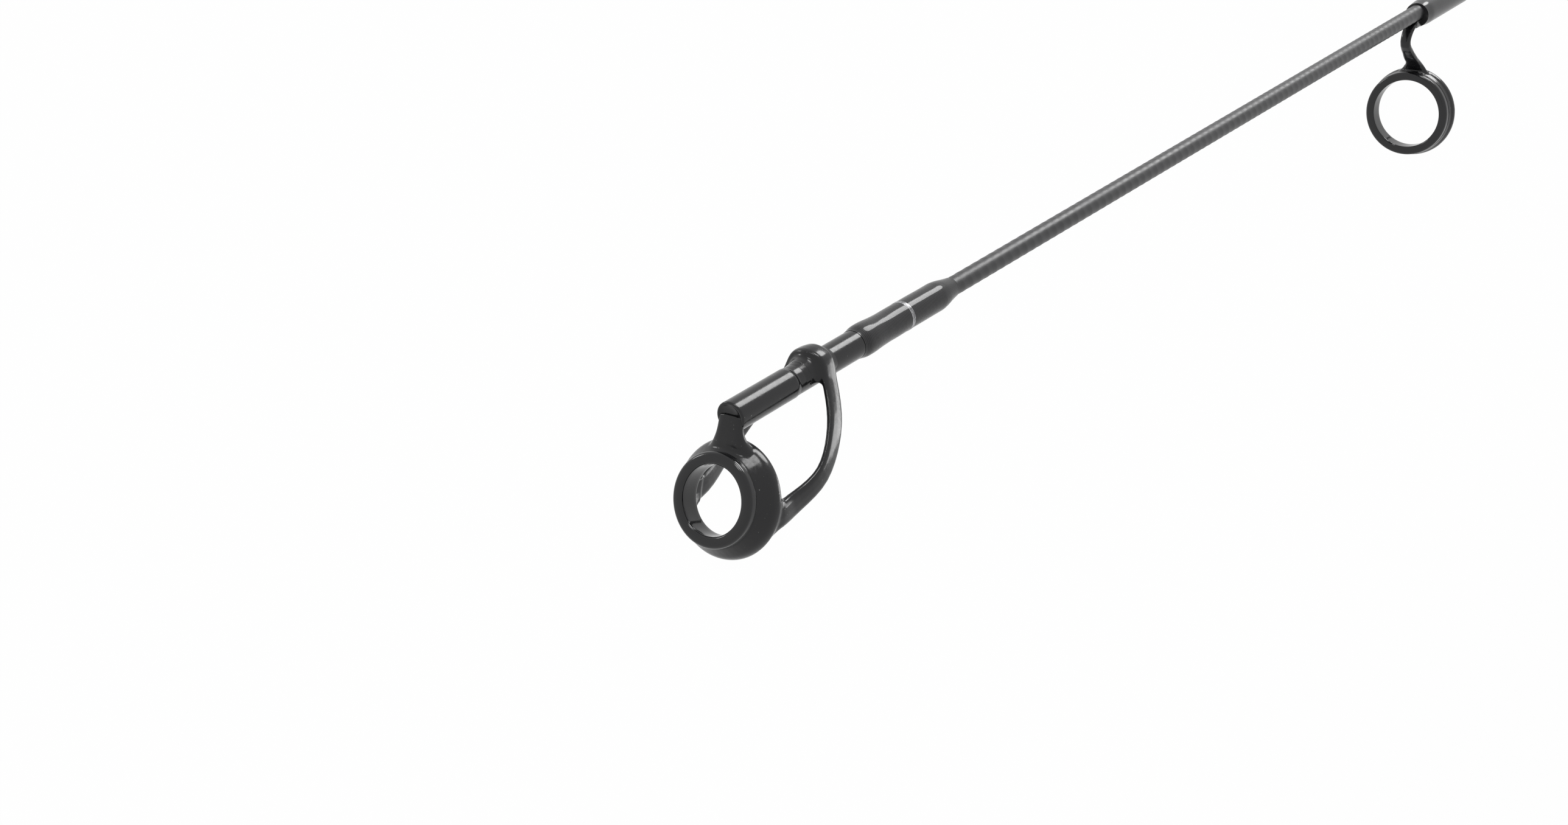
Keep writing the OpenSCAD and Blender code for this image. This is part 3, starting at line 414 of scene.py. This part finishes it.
def vary(mat, source, socket, low, high):
    """Lets a texture's value move one of the shader's numbers between low and high."""
    span = mat.node_tree.nodes.new("ShaderNodeMapRange")
    span.inputs["From Min"].default_value = NOISE_LOW
    span.inputs["From Max"].default_value = NOISE_HIGH
    span.inputs["To Min"].default_value = low
    span.inputs["To Max"].default_value = high
    bsdf = mat.node_tree.nodes["Principled BSDF"]
    mat.node_tree.links.new(source, span.inputs["Value"])
    mat.node_tree.links.new(span.outputs["Result"], bsdf.inputs[socket])


def tint(mat, source, dark, pale, low=0.35, high=0.65):
    """Lets a texture's value move the base colour from dark, below low, to pale, above high."""
    ramp = mat.node_tree.nodes.new("ShaderNodeValToRGB")
    ramp.color_ramp.elements[0].color = (*dark, 1)
    ramp.color_ramp.elements[0].position = low
    ramp.color_ramp.elements[1].color = (*pale, 1)
    ramp.color_ramp.elements[1].position = high
    bsdf = mat.node_tree.nodes["Principled BSDF"]
    mat.node_tree.links.new(source, ramp.inputs["Fac"])
    mat.node_tree.links.new(ramp.outputs["Color"], bsdf.inputs["Base Color"])


def bump(mat, source, height):
    """Relief of that height, in metres, from a texture's value."""
    lift = mat.node_tree.nodes.new("ShaderNodeBump")
    lift.inputs["Distance"].default_value = height
    bsdf = mat.node_tree.nodes["Principled BSDF"]
    mat.node_tree.links.new(source, lift.inputs["Height"])
    mat.node_tree.links.new(lift.outputs["Normal"], bsdf.inputs["Normal"])


def make_coat():
    """Glossy black coating on stamped metal, slightly uneven, with a few specks of dust."""
    black, dusty = (0.009, 0.009, 0.01), (0.16, 0.16, 0.16)
    mat = new_material("black_coat", black, 0.18, specular_ior_level=0.36)
    grain = texture(mat, "ShaderNodeTexNoise", 4200, detail=4.0)
    vary(mat, grain.outputs["Fac"], "Roughness", 0.13, 0.24)
    bump(mat, grain.outputs["Fac"], 0.001 * MM)
    dust = texture(mat, "ShaderNodeTexNoise", 7000, detail=0.0)
    tint(mat, dust.outputs["Fac"], black, dusty, low=0.82, high=0.88)
    return mat


def make_ceramic():
    """Polished black ceramic with a faint haze."""
    mat = new_material("ceramic", (0.008, 0.008, 0.009), 0.1, specular_ior_level=0.42)
    haze = texture(mat, "ShaderNodeTexNoise", 1500, detail=3.0)
    vary(mat, haze.outputs["Fac"], "Roughness", 0.07, 0.14)
    return mat


def make_wrap():
    """Black thread under clear epoxy: fine turns below, a smooth coat above."""
    mat = new_material("thread_wrap", (0.012, 0.012, 0.013), 0.5, specular_ior_level=0.08,
                       coat_weight=0.65, coat_roughness=0.11, coat_ior=1.45)
    thread = texture(mat, "ShaderNodeTexWave", THREAD_SCALE, distortion=0.4, detail=1.0)
    bump(mat, thread.outputs["Fac"], 0.012 * MM)
    tint(mat, thread.outputs["Fac"], (0.006, 0.006, 0.007), (0.018, 0.018, 0.019))
    return mat


def make_blank():
    """Dark carbon under a thin satin coat, with long fibres."""
    mat = new_material("carbon_blank", (0.018, 0.018, 0.019), 0.4, specular_ior_level=0.5)
    fibre = texture(mat, "ShaderNodeTexNoise", 900, stretch=(0.15, 1, 1), detail=5.0)
    tint(mat, fibre.outputs["Fac"], (0.01, 0.01, 0.011), (0.026, 0.026, 0.028))
    vary(mat, fibre.outputs["Fac"], "Roughness", 0.35, 0.44)
    return mat


def make_silver():
    """Bright turned metal, with fine lines round it."""
    mat = new_material("bright_trim", (0.42, 0.42, 0.43), 0.25, metallic=1.0)
    lines = texture(mat, "ShaderNodeTexNoise", 2600, stretch=(8, 1, 1), detail=3.0)
    vary(mat, lines.outputs["Fac"], "Roughness", 0.2, 0.34)
    return mat


def make_silver_thread():
    """Twisted metal thread."""
    mat = new_material("silver_thread", (0.4, 0.4, 0.41), 0.35, metallic=1.0)
    twist = texture(mat, "ShaderNodeTexNoise", 3800, detail=2.0)
    tint(mat, twist.outputs["Fac"], (0.2, 0.2, 0.21), (0.5, 0.5, 0.51))
    return mat


def make_foam():
    """Matt closed-cell foam."""
    mat = new_material("foam_grip", (0.028, 0.028, 0.029), 0.92, specular_ior_level=0.25)
    cells = texture(mat, "ShaderNodeTexVoronoi", 2600)
    tint(mat, cells.outputs["Distance"], (0.018, 0.018, 0.019), (0.04, 0.04, 0.041))
    bump(mat, cells.outputs["Distance"], 0.12 * MM)
    return mat


def make_rubber():
    """Matt black rubber."""
    mat = new_material("butt_rubber", (0.03, 0.03, 0.03), 0.7, specular_ior_level=0.35)
    grain = texture(mat, "ShaderNodeTexNoise", 3000, detail=4.0)
    vary(mat, grain.outputs["Fac"], "Roughness", 0.6, 0.8)
    bump(mat, grain.outputs["Fac"], 0.03 * MM)
    return mat


def make_plastic():
    """Satin black plastic."""
    mat = new_material("seat_plastic", (0.022, 0.022, 0.024), 0.42, specular_ior_level=0.45)
    grain = texture(mat, "ShaderNodeTexNoise", 4200, detail=3.0)
    vary(mat, grain.outputs["Fac"], "Roughness", 0.36, 0.5)
    bump(mat, grain.outputs["Fac"], 0.01 * MM)
    return mat


def make_gunmetal():
    """Dark anodised metal with a fine lengthwise brush."""
    mat = new_material("gunmetal", (0.13, 0.13, 0.134), 0.34, metallic=1.0)
    brushed = texture(mat, "ShaderNodeTexNoise", 4500, stretch=(0.06, 1, 1), detail=3.0)
    vary(mat, brushed.outputs["Fac"], "Roughness", 0.28, 0.4)
    tint(mat, brushed.outputs["Fac"], (0.115, 0.115, 0.119), (0.15, 0.15, 0.154))
    return mat


def make_arbor():
    """Grey foam, hidden inside the reel seat."""
    mat = new_material("arbor", (0.3, 0.3, 0.3), 0.9)
    cells = texture(mat, "ShaderNodeTexVoronoi", 1800)
    tint(mat, cells.outputs["Distance"], (0.22, 0.22, 0.22), (0.36, 0.36, 0.36))
    return mat


finish_of = {
    "guide_frame": make_coat(),
    "ceramic": make_ceramic(),
    "thread_wrap": make_wrap(),
    "blank": make_blank(),
    "bright_trim": make_silver(),
    "foam_grip": make_foam(),
    "butt_rubber": make_rubber(),
    "seat_plastic": make_plastic(),
    "arbor": make_arbor(),
    "gunmetal": make_gunmetal(),
}
silver_thread = make_silver_thread()


def finish_cad_nodes():
    """Every CAD node takes the finish of its material slot."""
    for part in record["subparts"]:
        mesh = node[part["node"]].data
        mesh.materials.clear()
        mesh.materials.append(finish_of[part["material_slot"]])


# Reliefs of turned pieces

def ridged(pitch, height):
    """One spiral ridge, as shrink tape leaves it."""
    def relief(x, turn):
        phase = (x / pitch - turn) % 1.0
        return height * (2 * np.abs(2 * phase - 1) ** 1.5 - 1)
    return relief


def wavy(height, length, seed):
    """Slow unevenness of a poured or dipped coat."""
    def relief(x, turn):
        full = 2 * math.pi
        lift = 0
        for k in (1, 2, 3):
            along = np.sin(full * (x / length * k + seed * k))
            lift = lift + along * np.cos(full * (k * turn + 0.37 * seed)) / k
        return height * lift / 2
    return relief


def grainy(height, seed):
    """Fine random unevenness, the same at every run."""
    def relief(x, turn):
        return np.random.default_rng(seed).normal(0, height, np.broadcast_shapes(x.shape, turn.shape))
    return relief


def make_blanks():
    """Both blank sections, with the tape's spiral ridges under the finish."""
    coarse, fine = 5, 12  # rows to a ridge
    for name, (body, pitch, height, near) in BLANKS.items():
        outer = outline(name, 1)
        inner = outline(name, -1)
        start, end = outer[0, 0], outer[-1, 0]
        xs = np.concatenate([np.arange(start, end - near, pitch / coarse),
                             np.arange(end - near, end, pitch / fine)])
        skin = list(zip(xs, np.interp(xs, outer[:, 0], outer[:, 1])))
        obj = lathe(name + "_skin", skin, inner[::-1][1:-1], BLANK_SIDES, ridged(pitch, height), crease=60)
        stand_for(obj, body, "blank", finish_of["blank"], name)


# Line guides

def ring_matrix(mount):
    """Takes the X axis to a ring's axis, at the ring's centre."""
    axis = Vector(mount["axis"])
    return Matrix.Translation(mount["pos_m"]) @ axis.to_track_quat("X", "Z").to_matrix().to_4x4()


def make_inserts():
    """Ceramic rings: flat-faced lip with rounded corners, straight polished bore, rounded rear edge."""
    for mount in record["mounts"]:
        if mount["kind"] != "bore":
            continue
        guide = mount["name"].replace("_line_bore", "")
        name = ("tip_top" if guide == "tip" else guide) + "_ring"
        matrix = ring_matrix(mount)
        back = matrix.inverted()
        local = coords(name) @ np.array(back.to_3x3()).T + np.array(back.translation)
        r = mount["dims"]["r_mm"] * MM
        lip = np.hypot(local[:, 1], local[:, 2]).max() - r
        wall, shoulder, rear = 0.5 * lip, 0.2 * lip, -0.9 * lip
        hole, edge = 0.24 * lip, 0.36 * lip  # radii of the lip's inner and outer corners
        flat, crown = 0.985 * lip, 0.015 * lip
        face = [(flat + crown * (1 - (2 * t - 1) ** 2), r + hole + (lip - hole - edge) * t)
                for t in np.linspace(1, 0, 9)]
        outer = [(rear, r + wall), (shoulder, r + wall), (shoulder, r + lip),
                 *arc(flat - edge, r + lip - edge, edge, 90, 0, 9)[:-1], *face]
        inner = [*arc(flat - hole, r + hole, hole, 0, -90, 9)[1:],
                 *[(lip * t, r) for t in (0.4, 0.1, -0.3, -0.6)],
                 *arc(rear, r + wall / 2, wall / 2, 270, 90, 9)[:-1]]
        obj = lathe(name + "_polished", outer, inner, 128, crease=35)
        obj.data.transform(matrix)
        stand_for(obj, body_of[name], "ceramic", finish_of["ceramic"], name)


def leg_web(side, sides=48):
    """Flare of one leg where it leaves the cup, in the tip ring's frame: points and faces of a closed form.
    Its rounded sections lie round the ring's axis, and widen towards the cup like a fillet."""
    middle_r, half_r = 3.9, 0.44  # the web's place and half thickness, in millimetres as the rest here
    cup_back, flare = -1.75, 0.8
    squareness = 0.4  # power that takes a section from an ellipse, at 1, towards a rectangle, at 0
    xs = np.linspace(-1.3, -2.65, 15)
    gap = np.clip((cup_back - xs) / flare, 0, 1)
    spread = flare * (1 - np.sqrt(1 - (1 - gap) ** 2)) / middle_r
    mid = np.interp(xs, LEG_X, LEG_MIDDLE)
    half = np.interp(xs, LEG_X, LEG_HALF) + spread
    turn = 2 * math.pi * np.arange(sides) / sides
    across = np.sign(np.cos(turn)) * np.abs(np.cos(turn)) ** squareness
    through = np.sign(np.sin(turn)) * np.abs(np.sin(turn)) ** squareness
    angle = mid[:, None] + half[:, None] * across
    r = middle_r + half_r * through
    x = np.repeat(xs[:, None], sides, axis=1)
    points = np.stack([x, side * r * np.cos(angle), r * np.sin(angle)], axis=-1).reshape(-1, 3)
    faces = []
    for i in range(len(xs) - 1):
        here, there = i * sides, (i + 1) * sides
        for k in range(sides):
            n = (k + 1) % sides
            faces.append((here + k, here + n, there + n, there + k))
    faces += [tuple(range(sides)), tuple(range(len(points) - sides, len(points)))]
    return points * MM, faces


def make_tip_frame():
    """Tip-top frame under its coating: legs that flare into the cup, and filled inner corners."""
    mount = next(m for m in record["mounts"] if m["name"] == "tip_line_bore")
    matrix = ring_matrix(mount)
    verts = coords("tip_top_frame").tolist()
    faces = [tuple(face.vertices) for face in node["tip_top_frame"].data.polygons]
    for side in (1, -1):
        points, more = leg_web(side)
        faces += [tuple(len(verts) + k for k in face) for face in more]
        verts += [tuple(matrix @ Vector(point)) for point in points]
    obj = add_mesh("tip_frame_coated", verts, faces)
    soften(obj, 0.06 * MM, 12, fillet=0.3 * MM)
    return stand_for(obj, "tip_section", "guide_frame", finish_of["guide_frame"], "tip_top_frame")


def make_tip_tube():
    """Coated tube: rounded front rim round a shallow dish, and a fine step behind the sleeve."""
    rows = outline("tip_top_tube", 1)
    r = rows[:, 1].max()
    front = TIP_X + TUBE_LIP
    edge = 0.14 * MM
    rows = refined(np.array([*rows[rows[:, 0] < TIP_X - 0.5 * MM], (front - edge, r)]), 0.25 * MM)
    rim = arc(front - edge, r - edge, edge, 80, 0, 6)
    dish = [(front - depth * MM, share * r)
            for depth, share in ((0.02, 0.82), (0.12, 0.7), (0.14, 0.35), (0.14, 0.02))]
    tube = lathe("tip_tube_coated", [*rows, *rim, *dish], (), 96, wavy(0.002 * MM, 2.3 * MM, 0.3), crease=50)
    stand_for(tube, "tip_section", "guide_frame", finish_of["guide_frame"], "tip_top_tube")


def without(rows, low, high, margin=0.1 * MM):
    """Outline without its points in a band's box, or within margin of it."""
    return rows[(rows[:, 0] < low.x - margin) | (rows[:, 0] > high.x + margin)]


def make_tip_wrap():
    """Epoxied wrap behind the tip-top, with one band of bright thread."""
    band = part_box("tip_top_trim_band")
    rows = without(outline("tip_top_wrap", 1), *band)
    front, r = rows[-1]
    film = [(front + 0.05 * MM, r - 0.06 * MM), (front + 0.4 * MM, r - 0.085 * MM)]
    skin = flowing(np.array([*rows, *film]), 0.08 * MM, 0.18 * MM)
    bore = [(x, 0.6 * skin[:, 1].min()) for x in (skin[-1, 0], skin[0, 0])]
    wrap = lathe("tip_wrap_epoxy", skin, bore, 96, wavy(0.014 * MM, 6.5 * MM, 0.7), crease=70)
    stand_for(wrap, "tip_section", "thread_wrap", finish_of["thread_wrap"], "tip_top_wrap")
    thread_band("tip_top_trim_band", "tip_section", band)


def make_braze():
    """Fillet of braze and coating that runs from the tube up to the hoop's crown."""
    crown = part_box("tip_top_frame")[1].z
    frame_co = coords("tip_top_frame")
    hoop_x = frame_co[frame_co[:, 2] > crown - 0.02 * MM][:, 0].mean()
    tube = outline("tip_top_tube", 1)
    along, lift = np.array(BRAZE_STEPS).T * MM
    xs = hoop_x + along
    base = np.interp(xs, tube[:, 0], tube[:, 1])
    sunk = 0.04 * MM
    fade_from, fade_over = -0.45, 0.5

    def upper(x, turn):
        """Full height on top, sunk below the tube's surface underneath."""
        height = np.sin(2 * math.pi * turn)
        share = np.clip((height - fade_from) / fade_over, 0, 1)
        return (lift + sunk)[:, None] * share ** 2 * (3 - 2 * share) - sunk

    skin = list(zip(xs, base))
    bore = [(x, 0.7 * base.min()) for x in (xs[-1], xs[0])]
    fillet = lathe("tip_braze_fillet", skin, bore, 96, upper, crease=60)
    fillet.data.materials.append(finish_of["guide_frame"])
    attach(fillet, "tip_section")


def thread_band(name, body, *boxes):
    """Few turns of bright thread for each box, side by side."""
    turns, rows_per_turn = 3, 8
    for part, (low, high) in enumerate(boxes, 1):
        pitch = (high.x - low.x) / turns
        xs = np.linspace(low.x, high.x, rows_per_turn * turns + 1)
        thick = 0.3 * pitch
        swell = np.abs(np.sin(math.pi * (xs - low.x) / pitch)) ** 0.5
        skin = list(zip(xs, high.y - thick + thick * swell))
        bore = [(x, high.y - 2 * thick) for x in (xs[-1], xs[0])]
        band = lathe(f"{name}_turns_{part}", skin, bore, 72, crease=80)
        stand_for(band, body, "bright_trim", silver_thread, name)


def make_foot_wraps():
    """Wraps over guide feet: the epoxy flows over each foot and thins out at its ends."""
    step, sides = 0.2 * MM, 72
    flow_along, flow_round = 1.6, 1.3  # in rows and sides
    for name in FOOT_WRAPS:
        low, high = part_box(name)
        places = np.arange(low.x + 0.01 * MM, high.x, step)
        grid = radii(name, places, sides)
        held = np.isfinite(grid).all(axis=1)
        starts = np.where(np.diff(held.astype(int), prepend=0) == 1)[0]
        for part, first in enumerate(starts, 1):
            last = first + np.argmin([*held[first:], False])
            rows = blurred(grid[first:last], flow_along, axis=0, wrap=False)
            rows = blurred(rows, flow_round, axis=1, wrap=True)
            mean = rows.mean(axis=1)
            swell = rows - mean[:, None]
            skin = list(zip(places[first:last], mean))
            bore = [(x, 0.6 * mean.min()) for x in (skin[-1][0], skin[0][0])]
            wrap = lathe(f"{name}_epoxy_{part}", skin, bore, sides, lambda x, turn: swell, crease=70)
            stand_for(wrap, body_of[name], "thread_wrap", finish_of["thread_wrap"], name)


def make_ferrule_wrap():
    """Long wrap round the ferrule's mouth, with a bright band near each end."""
    co = coords("ferrule_trim_bands")
    middle = (co[:, 0].min() + co[:, 0].max()) / 2
    bands = []
    for part in (co[co[:, 0] < middle], co[co[:, 0] > middle]):
        bands.append((Vector(part.min(axis=0)), Vector(part.max(axis=0))))
    rows = outline("ferrule_wrap", 1)
    for band in bands:
        rows = without(rows, *band)
    skin = flowing(rows, 0.2 * MM, 0.35 * MM)
    inner = outline("ferrule_wrap", -1)
    wrap = lathe("ferrule_wrap_epoxy", skin, inner[::-1], 96, wavy(0.012 * MM, 9 * MM, 0.4), crease=70)
    stand_for(wrap, "tip_section", "thread_wrap", finish_of["thread_wrap"], "ferrule_wrap")
    thread_band("ferrule_trim_bands", "tip_section", *bands)


# Handle

def make_grips():
    """Foam grips, turned smooth and left matt."""
    for name, seed in (("foregrip", 3), ("rear_grip", 5)):
        rows = outline(name, 1)
        if name == "rear_grip":
            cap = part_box("butt_cap")[1].x
            rows = rows[rows[:, 0] > cap - 0.1 * MM]
        skin = flowing(rows, 0.8 * MM, 2.5 * MM)
        skin = [(rows[0, 0], rows[0, 1] - 0.6 * MM), *skin, (rows[-1, 0], rows[-1, 1] - 0.4 * MM)]
        bore = [(x, 0.45 * rows[:, 1].min()) for x in (rows[-1, 0], rows[0, 0])]
        grip = lathe(name + "_foam", skin, bore, 110, grainy(0.03 * MM, seed), crease=60)
        stand_for(grip, "butt_section", "foam_grip", finish_of["foam_grip"], name)


def make_barrel():
    """Reel seat's barrel with its flat bed, keyway and thread."""
    name = "seat_barrel"
    co = coords(name)
    low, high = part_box(name)
    r = high.y
    end = co[co[:, 0] > high.x - 0.01 * MM]
    bed_z = end[:, 2].min()
    key = co[(np.abs(co[:, 1]) < 2 * MM) & (co[:, 2] > 0.85 * r) & (co[:, 2] < 0.97 * r)]
    key_z, key_half, key_x = key[:, 2].max(), np.abs(key[:, 1]).max(), key[:, 0].min()
    bed_x = co[np.abs(co[:, 2] - bed_z) < 0.01 * MM][:, 0].min()
    pitch, depth, clear = 2 * MM, 0.42 * MM, 0.02 * MM
    crest, flank = 0.4, 0.3  # shares of half a turn
    run_in, run_out = 2 * MM, 1 * MM
    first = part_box("lock_nut")[0].x - 26 * MM
    last = high.x - 3 * MM

    def thread(x, turn):
        phase = (x / pitch - turn) % 1.0
        groove = np.clip((np.abs(2 * phase - 1) - crest) / flank, 0, 1)
        run = np.clip((x - first) / run_in, 0, 1) * np.clip((last - x) / run_out, 0, 1)
        return -depth * groove * run - clear

    def cut(x, y, z):
        z = np.where((x > bed_x) & (z < bed_z), bed_z, z)
        return y, np.where((x > key_x) & (np.abs(y) < key_half) & (z > key_z), key_z, z)

    step, nudge = 0.01 * MM, 1e-4  # either side of a cut's edge, along X and as a share of a turn
    places = np.concatenate([np.linspace(low.x, first, 60), np.arange(first, high.x, pitch / 9), [high.x],
                             [bed_x - step, bed_x + step, key_x - step, key_x + step]])
    bed_turn = math.asin(bed_z / r) / (2 * math.pi)
    key_turn = math.acos(key_half / r) / (2 * math.pi)
    edges = [bed_turn, 0.5 - bed_turn,
             key_turn - nudge, key_turn + nudge, 0.5 - key_turn - nudge, 0.5 - key_turn + nudge]
    skin = [(x, r) for x in np.unique(places)]
    bore_r = np.hypot(co[:, 1], co[:, 2]).min()
    bore = [(high.x, bore_r), (low.x, bore_r)]
    barrel = lathe("barrel_threaded", skin, bore, 90, thread, crease=35, extra=edges, carve=cut)
    stand_for(barrel, "butt_section", "seat_plastic", finish_of["seat_plastic"], name)


make_camera()
make_world()
make_floor()
make_suns()
finish_cad_nodes()
make_blanks()
make_inserts()
make_card(make_tip_frame())
make_tip_tube()
make_braze()
make_tip_wrap()
make_foot_wraps()
make_ferrule_wrap()
make_grips()
make_barrel()
for name, (voxel, rounds) in SOFTENED.items():
    soften(node[name], voxel, rounds)

bpy.context.scene.view_settings.view_transform = "Standard"
